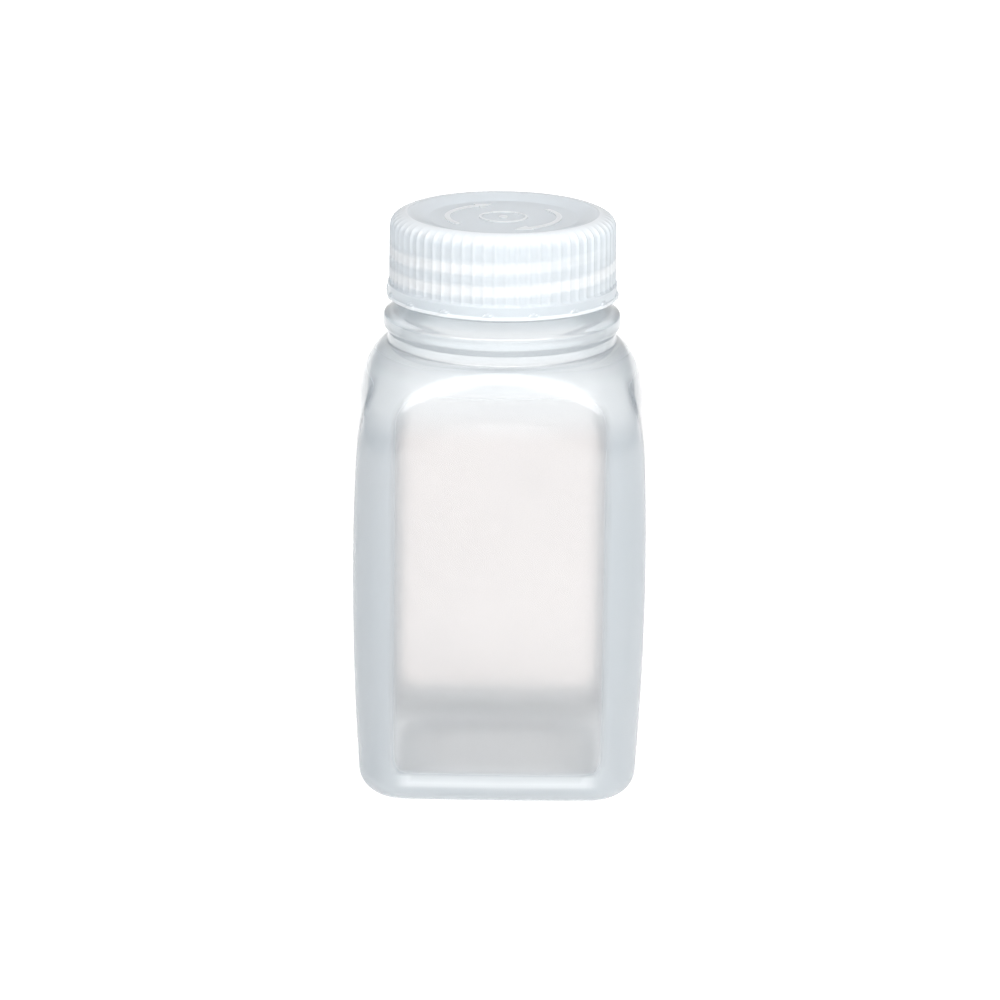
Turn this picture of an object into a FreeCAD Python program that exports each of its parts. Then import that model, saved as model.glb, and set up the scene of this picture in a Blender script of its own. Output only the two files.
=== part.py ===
import FreeCAD, Part
import os
from math import atan2, cos, pi, radians, sin, sqrt
from FreeCAD import Vector

# Square wide-mouth reagent bottle with a ribbed screw closure, in millimetres.
# +Z is up, the origin is the centre of the standing ring, and the front panel faces -Y.

# Body: rounded-square sections, widest near half height
HEEL_STEPS = 5              # steps between the heel's sections
LOWER_STEPS = 5             # the same, from the heel to the widest section
UPPER_STEPS = 9             # the same, from there to where the corners start to open
BODY_HALF_MID = 29.75       # half width across the flats at the widest section
BODY_MID_Z = 46.55
BODY_HALF_HEEL = 28.35      # half width where the heel curve starts
BODY_HALF_SHOULDER = 28.7   # half width where the shoulder starts
SHOULDER_Z = 79.3
CORNER_RADIUS = 9.4         # vertical corners, seen in plan
PANEL_BULGE = 0.5           # how far a panel's middle stands out from its edges
HEEL_HEIGHT = 5.3
HEEL_INSET = 5.7
BODY_WALL = 1.25
BASE_WALL = 1.5
STANDING_RING = 2.45        # width of the ring that the bottle stands on
PUSH_UP = 2.4               # height of the base panel's middle above the standing ring
PUSH_UP_STEP = 0.8          # height of the push-up's steep rim
PUSH_UP_STEP_INSET = 1.5
PUSH_UP_INSET = 8.5

# Shoulder: a soft curve from the square body to the round neck
NECK_BASE_Z = 90.15
NECK_BASE_RADIUS = 23.35
SHOULDER_POWER_Z = 1.575
SHOULDER_POWER_W = 1.483
SHOULDER_STEPS = 12
ROUND_START_Z = 70.0        # the corners start to open here, below the shoulder
ROUND_POWER_Z = 2.5
ROUND_POWER_W = 1.6
ROUND_SIDE_SLACK = 0.5      # a round section's side radius exceeds its half width by this
ROUND_CORNER_SLACK = 0.535  # and its corner radius falls short of it by this

# Neck below the closure: step ring, then the bead
NECK_OVERLAP = 0.4          # how far the turned neck reaches down into the shoulder
NECK_FOOT_RADIUS = 23.25
STEP_RADIUS = 23.0
STEP_LOW_Z = 90.55
STEP_TOP_Z = 92.25
BEAD_RADIUS = 23.85
BEAD_LOW_MIDDLE = (23.6, 93.0)      # a point on the arc from the step ring out to the bead
BEAD_LOW_Z = 93.95
BEAD_HIGH_Z = 95.1
BEAD_HIGH_MIDDLE = (23.73, 95.75)   # a point on the bead's upper round
BEAD_CORNER_Z = 96.25
BEAD_CORNER_RADIUS = 23.25
CONE_TOP_Z = 98.7

# Neck finish
FINISH_RADIUS = 19.15       # thread root
MOUTH_RADIUS = 17.3
RIM_Z = 114.3
RIM_ROUND = 0.6
CAVITY_TOP_Z = 88.9         # where the hollow shoulder meets the bore
CAVITY_TOP_RADIUS = 21.65
BORE_OVERLAP = 0.3          # how far the bore reaches down into the hollow shoulder
BEAD_BORE_RADIUS = 21.75
BEAD_BORE_LOW_Z = 89.4
BORE_CURVE_LOW_Z = 95.55
BORE_CURVE_HIGH_Z = 99.35
CUT_MARGIN = 1.0            # how far the bore's cut runs on above the rim

# Screw thread, right-hand, single start
THREAD_PITCH = 4.45
FRONT_ANGLE = -90.0         # the front, as an angle from +X
NECK_THREAD_CREST = 20.3
NECK_THREAD_ROOT_WIDTH = 2.2
NECK_THREAD_CREST_WIDTH = 1.25
NECK_THREAD_FRONT_Z = 107.4  # height of the ridge's middle line at the front
NECK_THREAD_START_Z = 101.85
NECK_THREAD_END_Z = 111.7
CLOSURE_THREAD_CREST = 19.5
CLOSURE_THREAD_ROOT_WIDTH = 1.9
CLOSURE_THREAD_CREST_WIDTH = 0.95
CLOSURE_THREAD_FRONT_Z = 105.3
CLOSURE_THREAD_START_Z = 101.95
CLOSURE_THREAD_END_Z = 110.85
THREAD_SINK = 0.3           # how far a ridge's root is let into its wall

# Closure
LIP_Z = 99.45
LIP_RADIUS = 23.2
LIP_TOP_Z = 100.1
BAND_LOW_Z = 100.4
BAND_RADIUS = 23.0
BAND_TOP_Z = 102.2
SKIRT_LOW_Z = 102.7
SKIRT_RADIUS_LOW = 22.4     # outside of the skirt between the ribs, at the plain band
SKIRT_RADIUS_HIGH = 22.3    # the same, at the top shoulder
SKIRT_BORE_RADIUS = 20.65
SHOULDER_ROUND = 2.95
TOP_Z = 116.3
TOP_RING_IN_RADIUS = 18.6
RECESS_RADIUS = 15.0
RECESS_Z = 115.25
CEILING_Z = 114.6
DISC_UNDERSIDE_Z = 113.9
DISC_UNDERSIDE_RADIUS = 14.05
DISC_SLOPE_RADIUS = 15.1

# Grip ribs
RIB_COUNT = 64
RIB_WIDTH = 1.1
RIB_PROUD = 0.45
RIB_PHASE = 1.9             # the first rib's angle from the front
RIB_ROOT_RADIUS = 21.8      # the root's outline stays inside the skirt and the top
RIB_ROOT_HIGH_RADIUS = 21.5
RIB_ROOT_HIGH_Z = 114.0
RIB_LOW_Z = 101.9
RIB_BEND_Z = 113.125        # where the crest starts to round over the top shoulder
RIB_TOP_RADIUS = 19.35
RIB_TOP_Z = 116.25

# Half-round lugs on the lip
LUG_COUNT = 16
LUG_RADIUS = 1.5
LUG_ROOT_RADIUS = 21.2
LUG_PROUD = 0.2
LUG_PHASE = -7.1            # the first lug's angle from the front

# Sealing ring
SEAL_RADIUS = 16.3          # middle of the ring's wall
SEAL_HALF_WALL = 0.8
SEAL_DEPTH = 2.45
SEAL_GAP = 0.05             # between the ring's flat top and the closure's ceiling


def turned(points, arcs=()):
    """Solid of revolution about Z of a closed outline of (radius, height) points.

    arcs maps the index of a side to the point that its arc passes through.
    """
    arcs = dict(arcs)
    edges = []
    corners = [Vector(r, 0, z) for r, z in points]
    for i, start in enumerate(corners):
        end = corners[(i + 1) % len(corners)]
        if i in arcs:
            middle = Vector(arcs[i][0], 0, arcs[i][1])
            edges.append(Part.Arc(start, middle, end).toShape())
        else:
            edges.append(Part.LineSegment(start, end).toShape())
    face = Part.Face(Part.Wire(edges))
    return face.revolve(Vector(0, 0, 0), Vector(0, 0, 1), 360)


def quarter_round_middle(centre_r, centre_z, radius):
    """Middle of the quarter circle that faces out and up, in the (radius, height) plane."""
    return (centre_r + radius * cos(radians(45)), centre_z + radius * sin(radians(45)))


def section(half_width, corner_radius, side_radius, z):
    """Closed outline of four bulged sides and four corners, all tangent."""
    offset = side_radius - half_width
    span = side_radius - corner_radius
    corner = (-offset + sqrt(2 * span ** 2 - offset ** 2)) / 2
    angle = atan2(corner, corner + offset)
    join = (side_radius * cos(angle) - offset, side_radius * sin(angle))
    corner_middle = corner + corner_radius / sqrt(2)
    edges = []
    for quarter in range(4):
        turn = FreeCAD.Rotation(Vector(0, 0, 1), 90 * quarter)
        side = [Vector(join[0], -join[1], z), Vector(half_width, 0, z), Vector(join[0], join[1], z)]
        bend = [side[2], Vector(corner_middle, corner_middle, z), Vector(join[1], join[0], z)]
        for start, middle, end in (side, bend):
            ends = [turn.multVec(p) for p in (start, middle, end)]
            edges.append(Part.Arc(*ends).toShape())
    return Part.Wire(edges)


def body_half_width(z):
    """Half width across the flats, below the shoulder."""
    if z < BODY_MID_Z:
        share = (BODY_MID_Z - z) / (BODY_MID_Z - HEEL_HEIGHT)
        return BODY_HALF_MID - (BODY_HALF_MID - BODY_HALF_HEEL) * share ** 2
    share = (z - BODY_MID_Z) / (SHOULDER_Z - BODY_MID_Z)
    return BODY_HALF_MID - (BODY_HALF_MID - BODY_HALF_SHOULDER) * share ** 2


PANEL_HALF = BODY_HALF_MID - CORNER_RADIUS
SIDE_RADIUS = (PANEL_HALF ** 2 + PANEL_BULGE ** 2) / (2 * PANEL_BULGE)


def heel_sections(wall):
    """Sections of the quarter-round heel, each drawn in by the wall thickness."""
    sections = []
    for i in range(HEEL_STEPS):
        angle = radians(90 * i / HEEL_STEPS)
        inset = HEEL_INSET * (1 - sin(angle)) + wall
        z = HEEL_HEIGHT * (1 - cos(angle)) + wall * cos(angle)
        half = body_half_width(z) - inset
        sections.append(section(half, CORNER_RADIUS - inset, SIDE_RADIUS, z))
    return sections


def body_sections(wall, low_z, high_z, steps):
    """Sections of the straight part of the body between two heights."""
    heights = [low_z + (high_z - low_z) * i / steps for i in range(steps + 1)]
    return [
        section(body_half_width(z) - wall, CORNER_RADIUS - wall, SIDE_RADIUS - wall, z)
        for z in heights
    ]


def open_share(rise, power_z, power_w):
    """Falls from 1 to 0 as rise goes from 0 to 1, along a rounded curve."""
    return max(0.0, 1 - max(0.0, rise) ** power_z) ** (1 / power_w)


def shoulder_sections(wall, neck_radius, top_z):
    """Sections from the square body to a round neck, closer together near the neck."""
    sections = []
    side_bend_low = 1 / (SIDE_RADIUS - wall)
    side_bend_high = 1 / (neck_radius + ROUND_SIDE_SLACK)
    corner_low = CORNER_RADIUS - wall
    corner_high = neck_radius - ROUND_CORNER_SLACK
    half_low = BODY_HALF_SHOULDER - wall
    for i in range(1, SHOULDER_STEPS + 1):
        rise = sin(radians(90 * i / SHOULDER_STEPS))
        z = ROUND_START_Z + (top_z - ROUND_START_Z) * rise
        share = open_share((z - SHOULDER_Z) / (top_z - SHOULDER_Z), SHOULDER_POWER_Z, SHOULDER_POWER_W)
        half = neck_radius + (half_low - neck_radius) * share
        if z < SHOULDER_Z:
            half = body_half_width(z) - wall
        round_share = 1 - open_share(rise, ROUND_POWER_Z, ROUND_POWER_W)
        bend = side_bend_low + (side_bend_high - side_bend_low) * round_share
        corner = corner_low + (corner_high - corner_low) * round_share
        sections.append(section(half, corner, 1 / bend, z))
    return sections


def square_to_round(wall, neck_radius, top_z):
    """Solids of the heel, the lower body and the upper body with its shoulder."""
    heel = heel_sections(wall)
    lower = body_sections(wall, HEEL_HEIGHT, BODY_MID_Z, LOWER_STEPS)
    upper = body_sections(wall, BODY_MID_Z, ROUND_START_Z, UPPER_STEPS)
    upper += shoulder_sections(wall, neck_radius, top_z)
    return [Part.makeLoft(sections, True) for sections in (heel + lower[:1], lower, upper)]


def thread_ridge(root_radius, crest_radius, root_width, crest_width, front_z, start_z, end_z):
    """Helical ridge between two radii whose middle line passes the front at front_z."""
    start_angle = FRONT_ANGLE + 360 * (start_z - front_z) / THREAD_PITCH
    helix = Part.makeHelix(THREAD_PITCH, end_z - start_z, root_radius)
    corners = [
        Vector(root_radius, 0, -root_width / 2),
        Vector(crest_radius, 0, -crest_width / 2),
        Vector(crest_radius, 0, crest_width / 2),
        Vector(root_radius, 0, root_width / 2),
    ]
    profile = Part.makePolygon(corners + corners[:1])
    ridge = Part.Wire(helix.Edges).makePipeShell([profile], True, True)
    ridge.translate(Vector(0, 0, start_z))
    ridge.rotate(Vector(0, 0, 0), Vector(0, 0, 1), start_angle)
    return ridge


def make_bottle():
    """Blow-moulded bottle: outer skin less the cavity, with the neck and its thread."""
    heel, lower, upper = square_to_round(0, NECK_BASE_RADIUS, NECK_BASE_Z)
    neck = turned(
        [
            (0, NECK_BASE_Z - NECK_OVERLAP), (NECK_FOOT_RADIUS, NECK_BASE_Z - NECK_OVERLAP),
            (NECK_FOOT_RADIUS, NECK_BASE_Z), (STEP_RADIUS, STEP_LOW_Z), (STEP_RADIUS, STEP_TOP_Z),
            (BEAD_RADIUS, BEAD_LOW_Z), (BEAD_RADIUS, BEAD_HIGH_Z),
            (BEAD_CORNER_RADIUS, BEAD_CORNER_Z), (FINISH_RADIUS, CONE_TOP_Z),
            (FINISH_RADIUS, RIM_Z - RIM_ROUND), (FINISH_RADIUS - RIM_ROUND, RIM_Z), (0, RIM_Z),
        ],
        {
            4: BEAD_LOW_MIDDLE,
            6: BEAD_HIGH_MIDDLE,
            9: quarter_round_middle(FINISH_RADIUS - RIM_ROUND, RIM_Z - RIM_ROUND, RIM_ROUND),
        },
    )
    ridge = thread_ridge(
        FINISH_RADIUS - THREAD_SINK, NECK_THREAD_CREST, NECK_THREAD_ROOT_WIDTH,
        NECK_THREAD_CREST_WIDTH, NECK_THREAD_FRONT_Z, NECK_THREAD_START_Z, NECK_THREAD_END_Z)
    bottle = heel.fuse(lower).fuse(upper).fuse(neck).fuse(ridge)
    for hollow in make_cavity():
        bottle = bottle.cut(hollow)
    return bottle.cut(base_rise(0))


def make_cavity():
    """The space inside the bottle, in pieces that share their end sections."""
    heel, lower, upper = square_to_round(BODY_WALL, CAVITY_TOP_RADIUS, CAVITY_TOP_Z)
    bore = turned(
        [
            (0, CAVITY_TOP_Z - BORE_OVERLAP), (CAVITY_TOP_RADIUS, CAVITY_TOP_Z - BORE_OVERLAP),
            (BEAD_BORE_RADIUS, BEAD_BORE_LOW_Z), (BEAD_BORE_RADIUS, BORE_CURVE_LOW_Z),
            (MOUTH_RADIUS, BORE_CURVE_HIGH_Z), (MOUTH_RADIUS, RIM_Z + CUT_MARGIN),
            (0, RIM_Z + CUT_MARGIN),
        ],
    )
    return [heel.cut(base_rise(BASE_WALL)), lower, upper, bore]


def base_rise(wall):
    """The raised middle of the base, thickened by a wall: with 0, the hollow under the bottle."""
    foot_half = body_half_width(0) - HEEL_INSET - STANDING_RING + wall
    levels = [(0.0, wall), (PUSH_UP_STEP_INSET, wall + PUSH_UP_STEP), (PUSH_UP_INSET, wall + PUSH_UP)]
    if wall > 0:
        levels.insert(0, (0.0, 0.0))
    wires = [
        section(foot_half - inset, foot_half / 3, SIDE_RADIUS, z) for inset, z in levels
    ]
    return Part.makeLoft(wires, True, True)


def outlined(edges):
    """Face inside a closed chain of lines and arcs."""
    return Part.Face(Part.Wire([edge.toShape() for edge in edges]))


def rib(angle):
    """One grip rib: a bar up the skirt and over the top shoulder."""
    crest_high = SKIRT_RADIUS_HIGH + RIB_PROUD
    foot = Vector(SKIRT_RADIUS_LOW + RIB_PROUD, 0, RIB_LOW_Z)
    bend = Vector(crest_high, 0, RIB_BEND_Z)
    middle_r, middle_z = quarter_round_middle(RIB_TOP_RADIUS, RIB_BEND_Z, crest_high - RIB_TOP_RADIUS)
    over = Vector(middle_r, 0, middle_z)
    top = Vector(RIB_TOP_RADIUS, 0, RIB_TOP_Z)
    inside = Vector(RIB_ROOT_HIGH_RADIUS, 0, RIB_ROOT_HIGH_Z)
    root = Vector(RIB_ROOT_RADIUS, 0, RIB_LOW_Z)
    face = outlined([
        Part.LineSegment(foot, bend), Part.Arc(bend, over, top), Part.LineSegment(top, inside),
        Part.LineSegment(inside, root), Part.LineSegment(root, foot),
    ])
    face.translate(Vector(0, -RIB_WIDTH / 2, 0))
    bar = face.extrude(Vector(0, RIB_WIDTH, 0))
    bar.rotate(Vector(0, 0, 0), Vector(0, 0, 1), angle)
    return bar


def lug(angle):
    """One half-round lug that stands up from the lip."""
    ends = [Vector(LUG_ROOT_RADIUS, y, LIP_Z) for y in (-LUG_RADIUS, LUG_RADIUS)]
    crown = Vector(LUG_ROOT_RADIUS, 0, LIP_Z + LUG_RADIUS)
    face = outlined([Part.Arc(ends[0], crown, ends[1]), Part.LineSegment(ends[1], ends[0])])
    pad = face.extrude(Vector(LIP_RADIUS + LUG_PROUD - LUG_ROOT_RADIUS, 0, 0))
    pad = pad.common(Part.makeCylinder(LIP_RADIUS + LUG_PROUD, TOP_Z - LIP_Z, Vector(0, 0, LIP_Z)))
    pad.rotate(Vector(0, 0, 0), Vector(0, 0, 1), angle)
    return pad


def make_closure():
    """Injection-moulded screw cap: shell, ribs, lugs and inner thread."""
    shoulder_z = TOP_Z - SHOULDER_ROUND
    top_out_radius = SKIRT_RADIUS_HIGH - SHOULDER_ROUND
    shell = turned(
        [
            (SKIRT_BORE_RADIUS, LIP_Z), (LIP_RADIUS, LIP_Z), (LIP_RADIUS, LIP_TOP_Z),
            (BAND_RADIUS, BAND_LOW_Z), (BAND_RADIUS, BAND_TOP_Z),
            (SKIRT_RADIUS_LOW, SKIRT_LOW_Z), (SKIRT_RADIUS_HIGH, shoulder_z),
            (top_out_radius, TOP_Z), (TOP_RING_IN_RADIUS, TOP_Z), (RECESS_RADIUS, RECESS_Z),
            (0, RECESS_Z), (0, DISC_UNDERSIDE_Z), (DISC_UNDERSIDE_RADIUS, DISC_UNDERSIDE_Z),
            (DISC_SLOPE_RADIUS, CEILING_Z), (SKIRT_BORE_RADIUS, CEILING_Z),
        ],
        {6: quarter_round_middle(top_out_radius, shoulder_z, SHOULDER_ROUND)},
    )
    ridge = thread_ridge(
        SKIRT_BORE_RADIUS + THREAD_SINK, CLOSURE_THREAD_CREST, CLOSURE_THREAD_ROOT_WIDTH,
        CLOSURE_THREAD_CREST_WIDTH, CLOSURE_THREAD_FRONT_Z, CLOSURE_THREAD_START_Z,
        CLOSURE_THREAD_END_Z)
    bars = [rib(FRONT_ANGLE + RIB_PHASE + 360 * i / RIB_COUNT) for i in range(RIB_COUNT)]
    pads = [lug(FRONT_ANGLE + LUG_PHASE + 360 * i / LUG_COUNT) for i in range(LUG_COUNT)]
    return shell.fuse(bars + pads + [ridge])


def make_seal_ring():
    """Rounded ring under the closure's top that enters the bottle's mouth."""
    top_z = CEILING_Z - SEAL_GAP
    low_z = top_z - SEAL_DEPTH + SEAL_HALF_WALL
    inner = SEAL_RADIUS - SEAL_HALF_WALL
    outer = SEAL_RADIUS + SEAL_HALF_WALL
    return turned(
        [(inner, low_z), (outer, low_z), (outer, top_z), (inner, top_z)],
        {0: (SEAL_RADIUS, low_z - SEAL_HALF_WALL)},
    )


def capacity_ml():
    """Brimful volume of the bottle, in millilitres."""
    hollows = make_cavity()
    space = hollows[0].fuse(hollows[1:])
    above_rim = pi * MOUTH_RADIUS ** 2 * CUT_MARGIN
    return (space.Volume - above_rim) / 1000


def main():
    os.makedirs("parts", exist_ok=True)
    shapes = {
        "bottle": make_bottle(),
        "closure": make_closure(),
        "closure_seal_ring": make_seal_ring(),
    }
    for node, shape in shapes.items():
        shape.exportStep(f"parts/{node}.step")
        print(node, "solids", len(shape.Solids), "valid", shape.isValid(),
              "volume", round(shape.Volume), "box", shape.BoundBox)
    print("brimful capacity, mL:", round(capacity_ml()))


main()
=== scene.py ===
import math

import bpy
import numpy as np
from mathutils import Matrix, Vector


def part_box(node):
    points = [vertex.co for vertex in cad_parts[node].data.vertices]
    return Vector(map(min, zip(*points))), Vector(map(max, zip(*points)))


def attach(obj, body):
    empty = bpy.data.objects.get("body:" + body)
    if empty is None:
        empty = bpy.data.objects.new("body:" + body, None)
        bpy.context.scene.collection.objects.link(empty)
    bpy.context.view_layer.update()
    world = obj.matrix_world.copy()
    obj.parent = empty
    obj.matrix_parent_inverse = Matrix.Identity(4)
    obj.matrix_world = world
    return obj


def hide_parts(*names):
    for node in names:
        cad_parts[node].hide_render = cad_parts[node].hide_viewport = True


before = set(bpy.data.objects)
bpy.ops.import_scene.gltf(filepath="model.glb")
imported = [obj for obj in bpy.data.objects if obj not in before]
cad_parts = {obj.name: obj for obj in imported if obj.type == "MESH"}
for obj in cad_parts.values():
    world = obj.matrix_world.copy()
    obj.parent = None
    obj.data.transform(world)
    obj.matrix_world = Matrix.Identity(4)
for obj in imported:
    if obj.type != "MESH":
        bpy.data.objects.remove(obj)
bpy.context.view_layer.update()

# Square wide-mouth reagent bottle of natural translucent plastic, with a ribbed screw closure.
# Lengths are in millimetres in the CAD frame; MM turns them into metres.
MM = 0.001
_, bottle_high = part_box("bottle")
closure_low, closure_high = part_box("closure")

# Body
BODY_HALF_MID = bottle_high.x / MM
BODY_HALF_HEEL = BODY_HALF_MID - 1.4
BODY_HALF_SHOULDER = BODY_HALF_MID - 1.05
BODY_MID_Z = 46.55
SHOULDER_Z = 79.3
CORNER_RADIUS = 9.4
PANEL_BULGE = 0.5
HEEL_HEIGHT = 5.3
HEEL_INSET = 5.7
BODY_WALL = 1.25
BASE_WALL = 1.5
STANDING_RING = 2.45
PUSH_UP = 2.4
PUSH_UP_STEP = 0.8
PUSH_UP_STEP_INSET = 1.5
PUSH_UP_INSET = 8.5
BASE_HUB = 0.6              # radius of the fan at the base's centre

# Shoulder
ROUND_START_Z = 70.0
ROUND_POWER_Z = 2.5
ROUND_POWER_W = 1.6
ROUND_SIDE_SLACK = 0.5
ROUND_CORNER_SLACK = 0.535
SHOULDER_POWER_Z = 1.575
SHOULDER_POWER_W = 1.483

# Neck
RIM_Z = bottle_high.z / MM
NECK_BASE_Z = RIM_Z - 24.15
NECK_BASE_RADIUS = 23.35
STEP_RADIUS = 23.0
STEP_TOP_Z = RIM_Z - 22.05
BEAD_RADIUS = 23.85
BEAD_LOW_Z = RIM_Z - 20.8
BEAD_HIGH_Z = RIM_Z - 18.5
CONE_TOP_Z = RIM_Z - 15.6
FINISH_RADIUS = 19.15
MOUTH_RADIUS = 17.3
CAVITY_TOP_Z = RIM_Z - 25.4
CAVITY_TOP_RADIUS = 21.65
BEAD_BORE_RADIUS = 21.75
BORE_CURVE_LOW_Z = RIM_Z - 18.75
BORE_CURVE_HIGH_Z = RIM_Z - 14.95

# Screw thread, right-hand
THREAD_PITCH = 4.45
THREAD_RUN_OUT = 1.5        # height over which a ridge fades at each end
NECK_THREAD = {
    "depth": 1.15, "front_z": 107.4, "low_z": 101.85, "high_z": 111.7, "root": 2.2, "crest": 1.25}
CLOSURE_THREAD = {
    "depth": 1.15, "front_z": 105.3, "low_z": 101.95, "high_z": 110.85, "root": 1.9, "crest": 0.95}
# How wide the closure's ridge looks through the skirt
THREAD_SHADE = {**CLOSURE_THREAD, "root": 3.0, "crest": 1.1}

# Closure
LIP_Z = closure_low.z / MM
TOP_Z = closure_high.z / MM
LIP_RADIUS = 23.2
LIP_TOP_Z = LIP_Z + 0.65
BAND_RADIUS = 23.0
BAND_TOP_Z = LIP_Z + 2.75
SKIRT_LOW_Z = LIP_Z + 3.25
SKIRT_RADIUS_LOW = 22.4
SKIRT_RADIUS_HIGH = 22.3
SKIRT_BORE_RADIUS = 20.65
SHOULDER_ROUND = 2.95
TOP_RING_IN_RADIUS = 18.6
RECESS_RADIUS = 15.0
RECESS_Z = TOP_Z - 1.05
CEILING_Z = TOP_Z - 1.7
DISC_UNDERSIDE_Z = TOP_Z - 2.4
DISC_UNDERSIDE_RADIUS = 14.05
DISC_SLOPE_RADIUS = 15.1
HUB_RADIUS = 0.3            # radius of the fans at the disc's centre
FRONT_ANGLE = math.radians(-90)

# Grip ribs and lip lugs
RIB_COUNT = 64
RIB_SAMPLES = 8             # mesh points across one rib and its gap
RIB_PROUD = 0.35
RIB_PHASE = math.radians(1.9)
RIB_HALF_WIDTH = 0.23       # as a share of the ribs' spacing
RIB_FLANK = 0.19
RIB_FADE_END = math.radians(75)    # lean of the top edge at which the ribs are gone
RIB_FADE_SPAN = math.radians(60)
RIB_FOOT = 0.6
LUG_COUNT = 16
LUG_RADIUS = 1.5
LUG_PROUD = 0.2
LUG_PHASE = math.radians(-7.1)
LUG_FLANK = 0.3

# How milky and how white the closure's plastic looks, with painted highlights on the lip, lug edges and ribs
# and painted light on the top edge
DISC_MILK = 0.55
DISC_PALE = 0.15
SKIRT_MILK = 0.45
SKIRT_PALE = 0.3
THREAD_MILK = 0.6           # added where the thread stands behind the skirt
LIP_HIGHLIGHT = 0.7             # painted highlight added on the lip
LUG_EDGE_HIGHLIGHT = 2.4        # painted highlight added round the lugs' edges
BAND_EXTRA = -0.1           # added on the plain band, its lip and lugs
RIB_HIGHLIGHT = 0.1             # painted highlight added on the ribs
TOP_EDGE_LIGHT = 0.5        # painted light added on the rounded top edge
TOP_EDGE_LOW_Z = TOP_Z - SHOULDER_ROUND
TOP_EDGE_LIGHT_FADE = 2.0

# The mark on the closure's disc
ARROW_RADIUS = 11.2
ARROW_WIDTH = 1.1
ARROW_START, ARROW_END = -62, 38    # degrees
ARROW_HEAD = 3.2
MARK_RING_RADIUS = 4.6
MARK_RING_WIDTH = 0.5
MARK_RING_ARC = 118                 # degrees of each third that its arc fills
GATE_RADIUS = 0.9
GATE_STEP = 15                      # degrees
MARK_SUNK = 0.02
MARK_HEIGHT = 0.2

# The clearer window of each body side: a rounded rectangle, seen square on
WINDOW_HALF_WIDTH = 20.8
WINDOW_LOW_Z = 5.2
WINDOW_HIGH_Z = 85.0
WINDOW_CORNER = 6.0
WINDOW_EDGE = 1.3           # half the width over which it fades

# How much less milky the shoulder, neck and base are than the body's corners, and how much painted light
# whitens them
SHOULDER_CLEARING = 0.28
NECK_CLEARING = 0.75
BASE_CLEARING = 0.5
SHOULDER_PAINTED_LIGHT = 1.0
BASE_PAINTED_LIGHT = 0.95
BASE_EDGE_INSET = 3
BASE_EDGE_FADE = 2

# A painted highlight: a pale line along the top of each side's heel
HEEL_HIGHLIGHT_Z = 5.6
HEEL_HIGHLIGHT_HALF = 1.2
HEEL_HIGHLIGHT_CORE = 1.5        # above 1, the line has a full core
HEEL_HIGHLIGHT_END_FADE = 3
HEEL_HIGHLIGHT_DEPTH = 2.5

# Points round a body section, on each side and on each corner, and rings up the bottle
SIDE_POINTS = 32
CORNER_POINTS = 20
BASE_RINGS = 30
HEEL_RINGS = 14
BODY_RINGS = 50
SHOULDER_RINGS = 45

PANEL_HALF = BODY_HALF_MID - CORNER_RADIUS
SIDE_RADIUS = (PANEL_HALF ** 2 + PANEL_BULGE ** 2) / (2 * PANEL_BULGE)


def section(half_width, corner_radius, side_radius):
    """Points of a closed outline of four bulged sides and four tangent corners."""
    offset = side_radius - half_width
    span = side_radius - corner_radius
    corner = (-offset + math.sqrt(2 * span ** 2 - offset ** 2)) / 2
    angle = math.atan2(corner, corner + offset)
    side = np.linspace(-angle, angle, SIDE_POINTS, endpoint=False)
    bend = np.linspace(angle, math.pi / 2 - angle, CORNER_POINTS, endpoint=False)
    x = np.concatenate([side_radius * np.cos(side) - offset, corner + corner_radius * np.cos(bend)])
    y = np.concatenate([side_radius * np.sin(side), corner + corner_radius * np.sin(bend)])
    quarters = [(x, y), (-y, x), (-x, -y), (y, -x)]
    return np.concatenate([np.stack(quarter, 1) for quarter in quarters])


def at_height(outline, z):
    """A ring of 3-D points from a flat outline and one height, or one height per point."""
    return np.column_stack([outline, np.broadcast_to(z, len(outline))])


def smooth_step(x):
    """From 0 to 1 as x goes from 0 to 1, level at both ends."""
    x = np.clip(x, 0, 1)
    return x * x * (3 - 2 * x)


def body_half_width(z):
    """Half the body's width across its flat sides."""
    if z < BODY_MID_Z:
        share = (BODY_MID_Z - z) / (BODY_MID_Z - HEEL_HEIGHT)
        return BODY_HALF_MID - (BODY_HALF_MID - BODY_HALF_HEEL) * share ** 2
    share = (z - BODY_MID_Z) / (SHOULDER_Z - BODY_MID_Z)
    return BODY_HALF_MID - (BODY_HALF_MID - BODY_HALF_SHOULDER) * share ** 2


def open_share(rise, power_z, power_w):
    """Falls from 1 to 0 as rise goes from 0 to 1, along a rounded curve."""
    return max(0.0, 1 - max(0.0, rise) ** power_z) ** (1 / power_w)


def base_rings(wall):
    """The raised middle of the base, from its centre out to its foot."""
    foot = body_half_width(0) - HEEL_INSET - STANDING_RING + wall
    levels = [
        (foot - BASE_HUB, PUSH_UP), (PUSH_UP_INSET, PUSH_UP), (PUSH_UP_STEP_INSET, PUSH_UP_STEP), (0, 0)]
    marks = [0.0]
    for (inset, z), (next_inset, next_z) in zip(levels, levels[1:]):
        marks.append(marks[-1] + math.hypot(next_inset - inset, next_z - z))
    places = np.linspace(0, marks[-1], BASE_RINGS)
    insets = np.interp(places, marks, [inset for inset, _ in levels])
    heights = np.interp(places, marks, [z for _, z in levels])
    heights[1:-1] = np.convolve(heights, np.ones(3) / 3, "valid")
    return [
        at_height(section(foot - inset, (foot - inset) / 3, SIDE_RADIUS), z + wall)
        for inset, z in zip(insets, heights)
    ]


def heel_rings(wall):
    """The rounded heel, from its foot up to the body."""
    rings = []
    for angle in np.radians(np.linspace(0, 90, HEEL_RINGS, endpoint=False)):
        inset = HEEL_INSET * (1 - math.sin(angle)) + wall
        z = HEEL_HEIGHT * (1 - math.cos(angle)) + wall * math.cos(angle)
        half = body_half_width(z) - inset
        rings.append(at_height(section(half, CORNER_RADIUS - inset, SIDE_RADIUS), z))
    return rings


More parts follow.
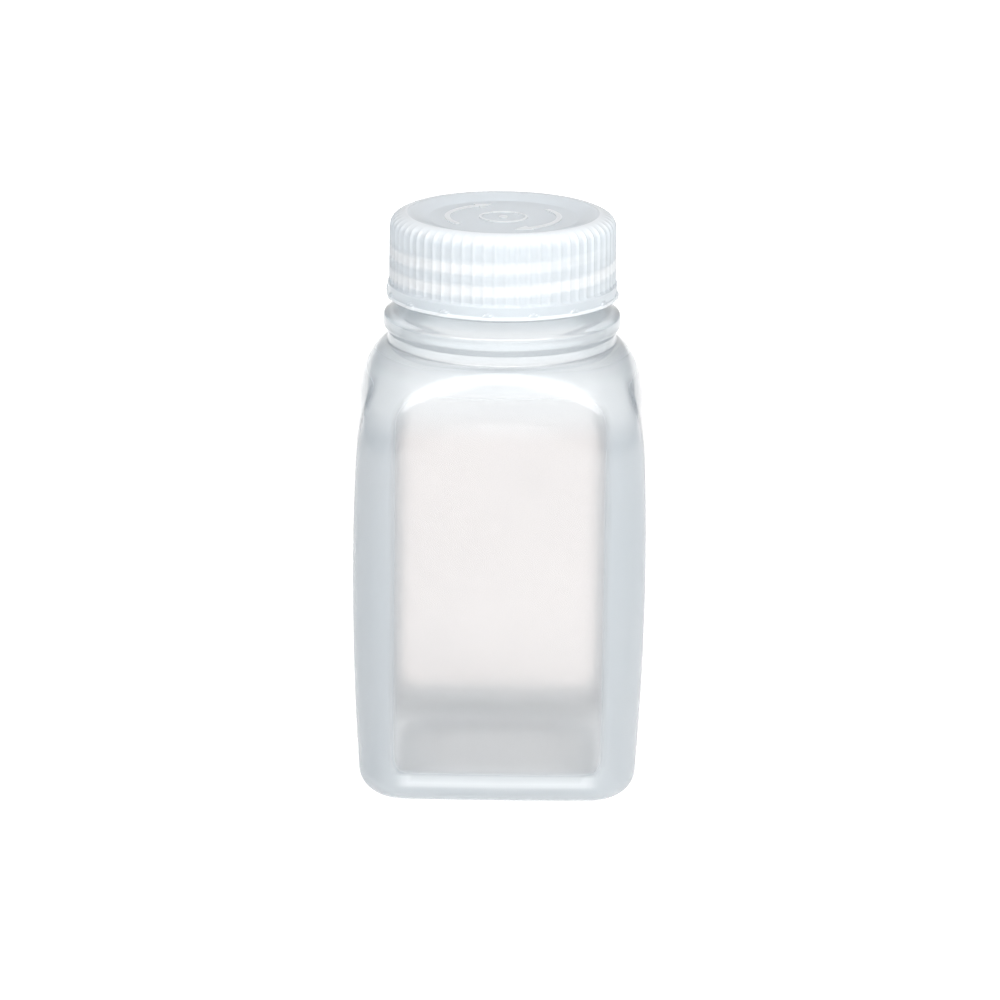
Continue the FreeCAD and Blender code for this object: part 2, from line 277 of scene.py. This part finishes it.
def body_rings(wall):
    """The body from its heel to where the shoulder starts to turn round."""
    return [
        at_height(section(body_half_width(z) - wall, CORNER_RADIUS - wall, SIDE_RADIUS - wall), z)
        for z in np.linspace(HEEL_HEIGHT, ROUND_START_Z, BODY_RINGS)
    ]


def shoulder_rings(wall, neck_radius, top_z):
    """Rings from the square body to a round neck, closer together near the neck."""
    rings = []
    side_bend_low = 1 / (SIDE_RADIUS - wall)
    side_bend_high = 1 / (neck_radius + ROUND_SIDE_SLACK)
    corner_low = CORNER_RADIUS - wall
    corner_high = neck_radius - ROUND_CORNER_SLACK
    half_low = BODY_HALF_SHOULDER - wall
    for rise in np.sin(np.radians(np.linspace(0, 90, SHOULDER_RINGS)))[1:]:
        z = ROUND_START_Z + (top_z - ROUND_START_Z) * rise
        share = open_share((z - SHOULDER_Z) / (top_z - SHOULDER_Z), SHOULDER_POWER_Z, SHOULDER_POWER_W)
        half = neck_radius + (half_low - neck_radius) * share
        if z < SHOULDER_Z:
            half = body_half_width(z) - wall
        round_share = 1 - open_share(rise, ROUND_POWER_Z, ROUND_POWER_W)
        bend = side_bend_low + (side_bend_high - side_bend_low) * round_share
        corner = corner_low + (corner_high - corner_low) * round_share
        rings.append(at_height(section(half, corner, 1 / bend), z))
    return rings


def filleted(corners):
    """Points along a polyline of (radius, height, fillet, spacing) corners, with round corners.

    The spacing of a corner is the greatest step from it to the next one.
    """
    places = [np.array(corner[:2], float) for corner in corners]
    points = [(places[0], corners[0][3])]
    for i in range(1, len(corners) - 1):
        fillet, spacing = corners[i][2:]
        before, here, after = places[i - 1:i + 2]
        into = (before - here) / np.linalg.norm(before - here)
        out = (after - here) / np.linalg.norm(after - here)
        half_angle = math.acos(np.clip(into @ out, -1, 1)) / 2
        if fillet <= 0:
            points.append((here, spacing))
            continue
        reach = fillet / math.tan(half_angle)
        middle = here + (into + out) / np.linalg.norm(into + out) * fillet / math.sin(half_angle)
        start = here + into * reach - middle
        end = here + out * reach - middle
        turn = (math.pi - 2 * half_angle) * np.sign(start[0] * end[1] - start[1] * end[0])
        for angle in np.linspace(0, turn, max(3, math.ceil(abs(turn) / math.radians(15)) + 1)):
            cs, sn = math.cos(angle), math.sin(angle)
            spun = np.array([cs * start[0] - sn * start[1], sn * start[0] + cs * start[1]])
            points.append((middle + spun, spacing))
    points.append((places[-1], corners[-1][3]))
    dense = [points[0][0]]
    for (start, spacing), (end, _) in zip(points, points[1:]):
        parts = max(1, math.ceil(np.linalg.norm(end - start) / spacing))
        dense += [start + (end - start) * i / parts for i in range(1, parts + 1)]
    return np.array(dense)


def thread_height(angle, z, thread):
    """From 0 to 1, how far a helical ridge stands at this angle and height."""
    turns = (angle - FRONT_ANGLE) / (2 * math.pi)
    base = thread["front_z"] + THREAD_PITCH * turns
    nearest = base + THREAD_PITCH * np.round((z - base) / THREAD_PITCH)
    flank = (thread["root"] - thread["crest"]) / 2
    rise = smooth_step((thread["root"] / 2 - np.abs(z - nearest)) / flank)
    from_end = np.minimum(nearest - thread["low_z"], thread["high_z"] - nearest)
    return rise * smooth_step(from_end / THREAD_RUN_OUT)


def mesh_object(name, points, faces):
    """A smooth-shaded mesh object; points in millimetres."""
    mesh = bpy.data.meshes.new(name)
    mesh.from_pydata((np.asarray(points) * MM).tolist(), [], faces)
    mesh.shade_smooth()
    piece = bpy.data.objects.new(name, mesh)
    bpy.context.scene.collection.objects.link(piece)
    return piece


def paint(piece, name, values):
    """A number for each point of a mesh, which the material reads by its name."""
    attribute = piece.data.attributes.new(name, "FLOAT", "POINT")
    values = np.broadcast_to(values, len(piece.data.vertices)).astype(np.float32)
    attribute.data.foreach_set("value", values)


def skin(name, rings, milk, pale):
    """A closed mesh through rings of equally many points, with a fan at each end.

    milk and pale give, for each ring, how milky the plastic is and how far it is drawn towards its pale tone,
    from 0 to 1; the pale number mostly carries painted light.
    """
    count = len(rings[0])
    points = np.concatenate([*rings, [rings[0].mean(0)], [rings[-1].mean(0)]])
    first_hub, last_hub = len(points) - 2, len(points) - 1
    around = np.arange(count)
    ahead = (around + 1) % count
    faces = np.column_stack([np.full(count, first_hub), ahead, around]).tolist()
    for i in range(len(rings) - 1):
        low, high = i * count, (i + 1) * count
        faces += np.column_stack([low + around, low + ahead, high + ahead, high + around]).tolist()
    end = (len(rings) - 1) * count
    faces += np.column_stack([np.full(count, last_hub), end + around, end + ahead]).tolist()
    piece = mesh_object(name, points, faces)
    for attribute, rows in (("milk", milk), ("pale", pale)):
        paint(piece, attribute, np.concatenate([*rows, rows[0][:1], rows[-1][:1]]))
    return piece


def base_share(ring):
    """1 on the base, 0 on the walls."""
    x, y, z = np.abs(ring).T
    share = smooth_step((BODY_HALF_HEEL - BASE_EDGE_INSET - np.maximum(x, y)) / BASE_EDGE_FADE)
    return share * (z < HEEL_HEIGHT)


def shoulder_share(z):
    """0 on the body, 1 on the shoulder and above it."""
    return smooth_step((z - SHOULDER_Z + 4) / 8)


def neck_share(z):
    """0 up to the shoulder, 1 on the neck."""
    return smooth_step((z - NECK_BASE_Z + 4) / 4)


def bottle_milk(ring):
    """Clear in the windows, milkier on the body's corners, in between on the shoulder and neck; with the dark
    milk tone the milky corners carry painted shade, and the heel lines a painted highlight.
    """
    x, y, z = np.abs(ring).T
    middle_z = (WINDOW_LOW_Z + WINDOW_HIGH_Z) / 2
    side = np.minimum(x, y) - (WINDOW_HALF_WIDTH - WINDOW_CORNER)
    rise = np.abs(z - middle_z) - ((WINDOW_HIGH_Z - WINDOW_LOW_Z) / 2 - WINDOW_CORNER)
    outside = np.hypot(np.maximum(side, 0), np.maximum(rise, 0)) + np.minimum(np.maximum(side, rise), 0)
    milk = smooth_step((outside - WINDOW_CORNER + WINDOW_EDGE) / (2 * WINDOW_EDGE))
    clearing = SHOULDER_CLEARING * shoulder_share(z)
    clearing += (NECK_CLEARING - SHOULDER_CLEARING) * neck_share(z)
    clearing += BASE_CLEARING * base_share(ring)
    return np.clip(milk * (1 - clearing) + painted_heel_highlight(ring), 0, 1)


def painted_heel_highlight(ring):
    """1 on the painted highlight along the heel of each side, 0 off it."""
    x, y, z = np.abs(ring).T
    highlight = smooth_step(HEEL_HIGHLIGHT_CORE - np.abs(z - HEEL_HIGHLIGHT_Z) / HEEL_HIGHLIGHT_HALF)
    highlight = highlight * smooth_step((WINDOW_HALF_WIDTH - np.minimum(x, y)) / HEEL_HIGHLIGHT_END_FADE)
    return np.where(np.maximum(x, y) > BODY_HALF_HEEL - HEEL_HIGHLIGHT_DEPTH, highlight, 0)


def bottle_painted_light(ring):
    """Painted highlight along the heel lines; painted light on the shoulder, neck and base, which makes them
    paler than the shaded corners.
    """
    pale = SHOULDER_PAINTED_LIGHT * shoulder_share(ring[:, 2]) + BASE_PAINTED_LIGHT * base_share(ring)
    return np.clip(pale + painted_heel_highlight(ring), 0, 1)


def make_bottle():
    """The bottle's outer skin, neck, rim and inner skin, as one closed surface."""
    outer = base_rings(0) + heel_rings(0) + body_rings(0)
    outer += shoulder_rings(0, NECK_BASE_RADIUS, NECK_BASE_Z)
    inner = base_rings(BASE_WALL)[:-1] + heel_rings(BODY_WALL) + body_rings(BODY_WALL)
    inner += shoulder_rings(BODY_WALL, CAVITY_TOP_RADIUS, CAVITY_TOP_Z)
    rays = outer[-1][:, :2] / np.linalg.norm(outer[-1][:, :2], axis=1)[:, None]
    angles = np.arctan2(rays[:, 1], rays[:, 0])
    profile = filleted([
        (NECK_BASE_RADIUS - 0.05, NECK_BASE_Z + 0.02, 0, 0.4),
        (STEP_RADIUS, NECK_BASE_Z + 0.35, 0.2, 0.4), (STEP_RADIUS, STEP_TOP_Z, 0.25, 0.4),
        (BEAD_RADIUS, BEAD_LOW_Z, 0.8, 0.4), (BEAD_RADIUS, BEAD_HIGH_Z, 1.0, 0.4),
        (FINISH_RADIUS, CONE_TOP_Z, 1.2, 0.28), (FINISH_RADIUS, RIM_Z, 0.6, 0.4),
        (MOUTH_RADIUS, RIM_Z, 0.5, 0.9), (MOUTH_RADIUS, BORE_CURVE_HIGH_Z, 3.0, 0.6),
        (BEAD_BORE_RADIUS, BORE_CURVE_LOW_Z, 2.0, 0.6), (BEAD_BORE_RADIUS, CAVITY_TOP_Z + 0.6, 0, 0.6),
    ])
    neck = []
    for radius, z in profile:
        at_finish = abs(radius - FINISH_RADIUS) < 0.01
        ridge = NECK_THREAD["depth"] * thread_height(angles, z, NECK_THREAD) * at_finish
        neck.append(at_height(rays * (radius + ridge)[:, None], z))
    rings = outer + neck + inner[::-1]
    return skin(
        "bottle_shell", rings, [bottle_milk(ring) for ring in rings], [bottle_painted_light(ring) for ring in rings])


def rib_wave(angles):
    """From 0 in the gaps to 1 on the ribs."""
    cycle = (angles - FRONT_ANGLE - RIB_PHASE) * RIB_COUNT / (2 * math.pi)
    distance = np.abs(cycle - np.round(cycle))
    return smooth_step((RIB_HALF_WIDTH - distance) / RIB_FLANK)


def lug_wave(angles, z, radius):
    """1 on the half-round lugs that stand up from the lip, 0 off them."""
    cycle = (angles - FRONT_ANGLE - LUG_PHASE) * LUG_COUNT / (2 * math.pi)
    across = (cycle - np.round(cycle)) * 2 * math.pi / LUG_COUNT * radius
    distance = np.hypot(across, z - LIP_Z)
    return smooth_step((LUG_RADIUS - distance) / LUG_FLANK)


def make_closure():
    """The closure's shell with its grip ribs, lip lugs and inner thread."""
    profile = filleted([
        (HUB_RADIUS, DISC_UNDERSIDE_Z, 0, 2.0), (DISC_UNDERSIDE_RADIUS, DISC_UNDERSIDE_Z, 0.3, 0.5),
        (DISC_SLOPE_RADIUS, CEILING_Z, 0.3, 1.0), (SKIRT_BORE_RADIUS, CEILING_Z, 0.8, 0.32),
        (SKIRT_BORE_RADIUS, LIP_Z, 0.25, 0.7), (LIP_RADIUS, LIP_Z, 0.25, 0.3),
        (LIP_RADIUS, LIP_TOP_Z, 0.15, 0.3), (BAND_RADIUS, LIP_TOP_Z + 0.25, 0.15, 0.25),
        (BAND_RADIUS, BAND_TOP_Z, 0.2, 0.3), (SKIRT_RADIUS_LOW, SKIRT_LOW_Z, 0.3, 0.55),
        (SKIRT_RADIUS_HIGH, TOP_Z, SHOULDER_ROUND, 0.5), (TOP_RING_IN_RADIUS, TOP_Z, 1.5, 0.5),
        (RECESS_RADIUS, RECESS_Z, 1.5, 1.5), (HUB_RADIUS, RECESS_Z, 0, 1.5),
    ])
    start = FRONT_ANGLE + RIB_PHASE
    angles = start + np.arange(RIB_COUNT * RIB_SAMPLES) * 2 * math.pi / (RIB_COUNT * RIB_SAMPLES)
    rays = np.stack([np.cos(angles), np.sin(angles)], 1)
    ribs = rib_wave(angles)
    outside = int(np.argmax(profile[:, 0] >= LIP_RADIUS - 0.01))
    round_centre = np.array([SKIRT_RADIUS_HIGH - SHOULDER_ROUND, TOP_Z - SHOULDER_ROUND])
    rings, milk, pale = [], [], []
    for i, (radius, z) in enumerate(profile):
        radii = np.full(len(angles), radius)
        heights = np.full(len(angles), z)
        thick = thread_height(angles, z, THREAD_SHADE) * (radius > SKIRT_BORE_RADIUS - 0.1)
        # Painted highlights on the lip, lug edges and ribs, painted light on the top edge, and a plain offset
        # on the band, added to how milky and how white the shell looks.
        painted_light_and_band = 0
        if abs(radius - SKIRT_BORE_RADIUS) < 0.01:
            radii -= CLOSURE_THREAD["depth"] * thread_height(angles, z, CLOSURE_THREAD)
        elif i >= outside and z < BAND_TOP_Z - 0.1:
            lugs = lug_wave(angles, z, radius)
            radii += (LIP_RADIUS + LUG_PROUD - radius) * lugs
            painted_light_and_band = LIP_HIGHLIGHT * (z < LIP_TOP_Z + 0.1) + LUG_EDGE_HIGHLIGHT * lugs * (1 - lugs) + BAND_EXTRA
        elif i >= outside and radius > round_centre[0]:
            lean = math.atan2(max(0.0, z - round_centre[1]), radius - round_centre[0])
            share = smooth_step((z - BAND_TOP_Z) / RIB_FOOT)
            share *= smooth_step((RIB_FADE_END - lean) / RIB_FADE_SPAN)
            radii += RIB_PROUD * share * math.cos(lean) * ribs
            heights += RIB_PROUD * share * math.sin(lean) * ribs
            painted_light_and_band = RIB_HIGHLIGHT * ribs * share
            painted_light_and_band = painted_light_and_band + TOP_EDGE_LIGHT * smooth_step((z - TOP_EDGE_LOW_Z) / TOP_EDGE_LIGHT_FADE)
        rings.append(np.column_stack([rays * radii[:, None], heights]))
        base = np.interp(radius, [RECESS_RADIUS, TOP_RING_IN_RADIUS], [DISC_MILK, SKIRT_MILK])
        milk.append(np.clip(base + THREAD_MILK * thick + painted_light_and_band, 0, 1))
        base = np.interp(radius, [RECESS_RADIUS, TOP_RING_IN_RADIUS], [DISC_PALE, SKIRT_PALE])
        pale.append(np.clip(base + thick + painted_light_and_band, 0, 1) + 0 * angles)
    return skin("closure_shell", rings, milk, pale)


def flat_mark(name, outlines, low_z, height):
    """Raised flat shapes: each outline of (x, y) points becomes a thin slab."""
    points, faces = [], []
    for outline in outlines:
        outline = np.asarray(outline, float)
        count, first = len(outline), len(points)
        points += at_height(outline, low_z).tolist() + at_height(outline, low_z + height).tolist()
        faces.append([first + i for i in reversed(range(count))])
        faces.append([first + count + i for i in range(count)])
        for i in range(count):
            j = (i + 1) % count
            faces.append([first + i, first + j, first + count + j, first + count + i])
    piece = mesh_object(name, points, faces)
    piece.data.shade_flat()
    return piece


def arc_band(radius, width, start, end):
    """Outline of a band along an arc, angles in degrees from +X."""
    angles = np.radians(np.linspace(start, end, max(4, round(abs(end - start) / 3))))
    rim = np.stack([np.cos(angles), np.sin(angles)], 1)
    return np.concatenate([rim * (radius + width / 2), rim[::-1] * (radius - width / 2)])


def arrow_head(radius, angle, size):
    """Outline of a triangle on an arc that points clockwise, seen from above."""
    a = math.radians(angle)
    out = np.array([math.cos(a), math.sin(a)])
    ahead = np.array([out[1], -out[0]])
    return [out * (radius + size / 2), out * radius + ahead * size, out * (radius - size / 2)][::-1]


def make_closure_mark():
    """A plain raised mark on the disc: two arrows for the closing direction, a ring and the gate."""
    outlines = []
    for turn in (0, 180):
        outlines.append(arc_band(ARROW_RADIUS, ARROW_WIDTH, turn + ARROW_START, turn + ARROW_END))
        outlines.append(arrow_head(ARROW_RADIUS, turn + ARROW_START, ARROW_HEAD))
    for turn in (0, 120, 240):
        outlines.append(arc_band(MARK_RING_RADIUS, MARK_RING_WIDTH, turn, turn + MARK_RING_ARC))
    angles = np.radians(range(0, 360, GATE_STEP))
    outlines.append([(GATE_RADIUS * math.cos(a), GATE_RADIUS * math.sin(a)) for a in angles])
    piece = flat_mark("closure_mark", outlines, RECESS_Z - MARK_SUNK, MARK_HEIGHT)
    paint(piece, "milk", 1)
    paint(piece, "pale", 1)
    return piece


class Nodes:
    """Short calls for building one node tree."""

    def __init__(self, tree):
        self.tree = tree
        self.tree.nodes.clear()

    def add(self, kind, settings=(), inputs=(), links=()):
        node = self.tree.nodes.new(kind)
        for key, value in dict(settings).items():
            setattr(node, key, value)
        for key, value in dict(inputs).items():
            node.inputs[key].default_value = value
        for key, source in dict(links).items():
            self.tree.links.new(source, node.inputs[key])
        return node

    def noise(self, scale, detail, stretch=(1, 1, 1)):
        place = self.add("ShaderNodeTexCoord").outputs["Object"]
        scaled = self.add("ShaderNodeMapping", inputs={"Scale": stretch}, links={"Vector": place})
        return self.add(
            "ShaderNodeTexNoise", inputs={"Scale": scale, "Detail": detail},
            links={"Vector": scaled.outputs["Vector"]}).outputs["Fac"]

    def spread(self, source, low, high):
        """Maps noise, which stays near the middle of 0 to 1, to a range."""
        return self.add(
            "ShaderNodeMapRange", inputs={"From Min": 0.3, "From Max": 0.7, "To Min": low, "To Max": high},
            links={"Value": source}).outputs["Result"]

    def blend_colours(self, source, first, second):
        ramp = self.add("ShaderNodeValToRGB", links={"Fac": source})
        ramp.color_ramp.elements[0].position = 0.3
        ramp.color_ramp.elements[0].color = (*first, 1)
        ramp.color_ramp.elements[1].position = 0.7
        ramp.color_ramp.elements[1].color = (*second, 1)
        return ramp.outputs["Color"]


def new_material(name):
    material = bpy.data.materials.new(name)
    material.use_nodes = True
    return material


GLOSS = {"IOR": 1.49, "Coat Weight": 0.35, "Coat Roughness": 0.1}


def translucent_plastic(name, clear, pale_clear, milk, pale, roughness, clearness, absorb):
    """Natural plastic: part lets light through with a blur, part scatters it like milk.

    clear and milk are pairs of tones that a cloudy noise blends, roughness is a pair that it spreads,
    clearness is the clear share where the mesh's milk number is 0 and where it is 1.
    """
    material = new_material(name)
    n = Nodes(material.node_tree)
    cloud = n.noise(28, 3)
    fine = n.noise(420, 4, (1, 1, 0.45))
    share = n.add("ShaderNodeAttribute", {"attribute_name": "milk"}).outputs["Fac"]
    drift = n.spread(cloud, -0.02, 0.02)
    opening = n.add(
        "ShaderNodeMapRange", inputs={"To Min": clearness[0], "To Max": clearness[1]}, links={"Value": share})
    factor = n.add(
        "ShaderNodeMath", {"operation": "ADD"},
        links={0: opening.outputs["Result"], 1: drift}).outputs["Value"]
    bumps = n.add(
        "ShaderNodeBump", inputs={"Strength": 0.001, "Distance": 0.0004}, links={"Height": fine})
    # The mesh's pale number draws the colour towards the pale tone; on the bottle and the closure it mostly
    # carries painted light and painted highlights.
    paleness = n.add("ShaderNodeAttribute", {"attribute_name": "pale"}).outputs["Fac"]
    tint = n.add(
        "ShaderNodeMix", {"data_type": "RGBA"}, {7: (*pale_clear, 1)},
        {0: paleness, 6: n.blend_colours(cloud, *clear)}).outputs[2]
    through = n.add(
        "ShaderNodeBsdfPrincipled",
        inputs={**GLOSS, "Transmission Weight": 1.0},
        links={"Base Color": tint, "Roughness": n.spread(cloud, *roughness)})
    tone = n.add(
        "ShaderNodeMix", {"data_type": "RGBA"}, {7: (*pale, 1)},
        {0: paleness, 6: n.blend_colours(cloud, *milk)}).outputs[2]
    scatter = n.add(
        "ShaderNodeBsdfPrincipled",
        inputs={**GLOSS, "Roughness": 0.2},
        links={"Base Color": tone, "Normal": bumps.outputs["Normal"]})
    glow = n.add("ShaderNodeBsdfTranslucent", links={"Color": tone, "Normal": bumps.outputs["Normal"]})
    milky = n.add(
        "ShaderNodeMixShader", inputs={"Fac": 0.5},
        links={1: scatter.outputs["BSDF"], 2: glow.outputs["BSDF"]})
    mixed = n.add(
        "ShaderNodeMixShader",
        links={"Fac": factor, 1: milky.outputs["Shader"], 2: through.outputs["BSDF"]})
    inside = n.add(
        "ShaderNodeVolumeAbsorption", inputs={"Color": (*absorb[0], 1), "Density": absorb[1]})
    n.add(
        "ShaderNodeOutputMaterial",
        links={"Surface": mixed.outputs["Shader"], "Volume": inside.outputs["Volume"]})
    return material


# The bottle's milk tones are a dark blue-grey, which paints shade on the milky corners and edges of the body;
# its pale tone is where the painted light and highlights go.
bottle_plastic = translucent_plastic(
    "bottle_plastic",
    clear=((0.97, 0.928, 0.91), (0.97, 0.933, 0.916)), pale_clear=(0.96, 0.985, 1.0),
    milk=((0.63, 0.68, 0.715), (0.67, 0.71, 0.74)), pale=(0.935, 0.96, 0.972),
    roughness=(0.14, 0.20), clearness=(0.88, 0.42), absorb=((0.25, 0.36, 0.43), 72.0))
closure_plastic = translucent_plastic(
    "closure_plastic",
    clear=((0.965, 0.985, 1.0), (0.97, 0.99, 1.0)), pale_clear=(0.98, 0.99, 1.0),
    milk=((0.81, 0.86, 0.895), (0.83, 0.875, 0.91)), pale=(0.87, 0.88, 0.887),
    roughness=(0.16, 0.22), clearness=(0.62, 0.1), absorb=((0.62, 0.70, 0.76), 60.0))
seal_plastic = translucent_plastic(
    "seal_plastic",
    clear=((1.0, 0.99, 0.985), (1.0, 0.995, 0.99)), pale_clear=(0.98, 0.99, 1.0),
    milk=((0.93, 0.945, 0.955), (0.95, 0.96, 0.97)), pale=(0.97, 0.975, 0.98),
    roughness=(0.20, 0.28), clearness=(0.62, 0.2), absorb=((0.62, 0.70, 0.76), 60.0))

bottle = make_bottle()
bottle.data.materials.append(bottle_plastic)
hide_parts("bottle")
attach(bottle, "bottle_body")

closure = make_closure()
closure.data.materials.append(closure_plastic)
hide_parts("closure")
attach(closure, "closure_body")

mark = make_closure_mark()
mark.data.materials.append(closure_plastic)
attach(mark, "closure_body")

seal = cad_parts["closure_seal_ring"]
seal.data.materials.clear()
seal.data.materials.append(seal_plastic)

# Floor
FLOOR_HALF = 6.0
floor_mesh = bpy.data.meshes.new("floor")
floor_corners = [(x * FLOOR_HALF, y * FLOOR_HALF, 0) for x, y in ((-1, -1), (1, -1), (1, 1), (-1, 1))]
floor_mesh.from_pydata(floor_corners, [], [(0, 1, 2, 3)])
floor = bpy.data.objects.new("floor", floor_mesh)
bpy.context.scene.collection.objects.link(floor)
floor_paper = new_material("floor_paper")
paper = Nodes(floor_paper.node_tree)
paper_shader = paper.add(
    "ShaderNodeBsdfPrincipled",
    inputs={"Roughness": 0.9, "Specular IOR Level": 0.1, "Emission Strength": 1.0,
            "Emission Color": (1, 1, 1, 1)},
    links={"Base Color": paper.blend_colours(paper.noise(3, 2), (0.33, 0.33, 0.33), (0.35, 0.35, 0.35))})
paper.add("ShaderNodeOutputMaterial", links={"Surface": paper_shader.outputs["BSDF"]})
floor.data.materials.append(floor_paper)


def soft_light(name, place, target, size, power, colour):
    """A rectangular soft light at a place, facing a target."""
    light = bpy.data.lights.new(name, "AREA")
    light.shape = "RECTANGLE"
    light.size, light.size_y = size
    light.energy = power
    light.color = colour
    lamp = bpy.data.objects.new(name, light)
    lamp.location = place
    direction = np.array(target) - np.array(place)
    flat = math.hypot(direction[0], direction[1])
    lamp.rotation_euler = (math.atan2(flat, -direction[2]), 0, math.atan2(-direction[0], direction[1]))
    bpy.context.scene.collection.objects.link(lamp)
    return lamp


top = soft_light("top_softbox", (0.0, -0.42, 0.86), (0, 0, 0.08), (1.3, 0.42), 8.3, (0.97, 0.99, 1.0))
top.visible_transmission = False
front = soft_light("front_softbox", (0.38, -1.1, 0.30), (0, 0, 0.06), (0.9, 0.4), 11.3, (1.0, 0.995, 0.985))
front.visible_glossy = False
front.visible_transmission = False

# World: white where the camera sees it. For all other rays it is a pale room, dimmer and cooler to the sides.
world = bpy.data.worlds.new("room")
bpy.context.scene.world = world
world.use_nodes = True
sky = Nodes(world.node_tree)
direction = sky.add("ShaderNodeTexCoord").outputs["Generated"]
axes = sky.add("ShaderNodeSeparateXYZ", links={"Vector": direction}).outputs
low_share = sky.add(
    "ShaderNodeMapRange", {"interpolation_type": "SMOOTHSTEP"},
    {"From Min": 0.65, "From Max": 0.15, "To Min": 0.0, "To Max": 1.0},
    {"Value": axes["Z"]}).outputs["Result"]
colour = None
for side, shade in ((-1, (0.30, 0.36, 0.42, 1)), (1, (0.12, 0.17, 0.22, 1))):
    reach = sky.add(
        "ShaderNodeMapRange", {"interpolation_type": "SMOOTHSTEP"},
        {"From Min": 0.15 * side, "From Max": 0.65 * side}, {"Value": axes["X"]}).outputs["Result"]
    share = sky.add(
        "ShaderNodeMath", {"operation": "MULTIPLY"}, links={0: reach, 1: low_share}).outputs["Value"]
    mix = sky.add("ShaderNodeMix", {"data_type": "RGBA"}, {7: shade}, {0: share})
    if colour is None:
        mix.inputs[6].default_value = (1.0, 0.97, 0.96, 1)
    else:
        sky.tree.links.new(colour, mix.inputs[6])
    colour = mix.outputs[2]
seen = sky.add("ShaderNodeBackground")
seen.inputs["Color"].default_value = (1, 1, 1, 1)
room = sky.add("ShaderNodeBackground", inputs={"Strength": 0.85}, links={"Color": colour})
choice = sky.add(
    "ShaderNodeMixShader",
    links={0: sky.add("ShaderNodeLightPath").outputs["Is Camera Ray"],
           1: room.outputs["Background"], 2: seen.outputs["Background"]})
sky.add("ShaderNodeOutputWorld", links={"Surface": choice.outputs["Shader"]})

# Camera
camera_data = bpy.data.cameras.new("camera")
camera_data.lens = 158.98
camera_data.sensor_width = 36.0
camera_data.clip_start = 0.01
camera_data.clip_end = 50.0
camera = bpy.data.objects.new("camera", camera_data)
camera.location = (0.0, -0.86240, 0.30807)
tilt, roll = math.radians(73.731), math.radians(0.662)
camera.rotation_mode = "QUATERNION"
camera.rotation_quaternion = (Matrix.Rotation(tilt, 3, "X") @ Matrix.Rotation(roll, 3, "Z")).to_quaternion()
bpy.context.scene.collection.objects.link(camera)
bpy.context.scene.camera = camera
bpy.context.scene.view_settings.view_transform = "Standard"
bpy.context.scene.cycles.transmission_bounces = 16
bpy.context.scene.cycles.max_bounces = 20
